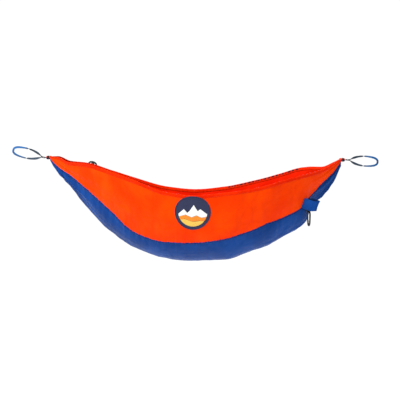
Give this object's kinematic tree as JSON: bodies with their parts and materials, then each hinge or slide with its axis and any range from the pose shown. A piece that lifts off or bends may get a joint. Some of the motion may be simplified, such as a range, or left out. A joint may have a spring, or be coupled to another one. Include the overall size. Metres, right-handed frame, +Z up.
{
  "type": "camping hammock",
  "caption": "Small gathered-end nylon camping hammock hung as an open trough, with webbing end loops, rim hems, a round front badge, a folded gear tab and hanging snap carabiners.",
  "frame": {"origin": "middle of the straight line between the bights of the two end loops", "axes": "+X from the left end to the right end, +Y from the front rim to the back rim, +Z up as it hangs"},
  "size_m": [1.7396, 0.4643, 0.5453],
  "materials": {
    "orange_nylon": "satin",
    "blue_nylon": "satin",
    "badge_navy": "matte",
    "loop_webbing": "satin",
    "black_webbing": "matte",
    "black_cord": "matte",
    "black_plastic": "satin",
    "pin_steel": "satin"
  },
  "bodies": {
    "hammock": {"front_panel": "orange_nylon", "back_panel": "orange_nylon", "bottom_panel_left_end": "blue_nylon", "bottom_panel_head": "blue_nylon", "bottom_panel_back": "blue_nylon", "bottom_panel_seat": "blue_nylon", "bottom_panel_legs": "blue_nylon", "bottom_panel_right_end": "blue_nylon", "front_rim_hem": "orange_nylon", "back_rim_hem": "orange_nylon", "back_rim_trim": "black_webbing", "badge_patch": "badge_navy", "left_gathered_end": "blue_nylon", "right_gathered_end": "blue_nylon", "left_whipping": "black_cord", "right_whipping": "black_cord", "left_cord_eye": "black_cord", "right_cord_eye": "black_cord", "right_gear_tab": "blue_nylon", "left_keeper": "black_webbing", "right_keeper": "black_webbing"},
    "left_loop": {"left_end_loop": "loop_webbing", "left_loop_bartack": "black_cord"},
    "right_loop": {"right_end_loop": "loop_webbing", "right_loop_bartack": "black_cord"},
    "left_carabiner": {"left_carabiner_frame": "black_plastic"},
    "right_carabiner": {"right_carabiner_frame": "black_plastic"},
    "left_gate": {"left_carabiner_gate": "black_plastic", "left_carabiner_pin": "pin_steel"},
    "right_gate": {"right_carabiner_gate": "black_plastic", "right_carabiner_pin": "pin_steel"}
  },
  "joints": [
    {"name": "left_loop_swing", "type": "hinge", "parent": "hammock", "child": "left_loop", "pos_m": [-0.717, 0, -0.007], "axis": [0, 1, 0], "range_deg": [-80, 80]},
    {"name": "right_loop_swing", "type": "hinge", "parent": "hammock", "child": "right_loop", "pos_m": [0.718, 0, -0.018], "axis": [0, 1, 0], "range_deg": [-80, 80]},
    {"name": "left_carabiner_swing", "type": "hinge", "parent": "hammock", "child": "left_carabiner", "pos_m": [-0.492, 0.13726, -0.03639], "axis": [0.9659, 0, -0.2588], "range_deg": [-4, 75]},
    {"name": "right_carabiner_swing", "type": "hinge", "parent": "hammock", "child": "right_carabiner", "pos_m": [0.535, -0.078, -0.259], "axis": [0.2588, -0.9659, 0], "range_deg": [-15, 70]},
    {"name": "left_gate_hinge", "type": "hinge", "parent": "left_carabiner", "child": "left_gate", "pos_m": [-0.51943, 0.13726, -0.08081], "axis": [0, 1, 0], "range_deg": [0, 25], "stiffness_Nm_per_rad": 0.05, "springref_deg": -20.05},
    {"name": "right_gate_hinge", "type": "hinge", "parent": "right_carabiner", "child": "right_gate", "pos_m": [0.53112, -0.06351, -0.309], "axis": [0.9659, 0.2588, 0], "range_deg": [0, 25], "stiffness_Nm_per_rad": 0.05, "springref_deg": -20.05}
  ]
}
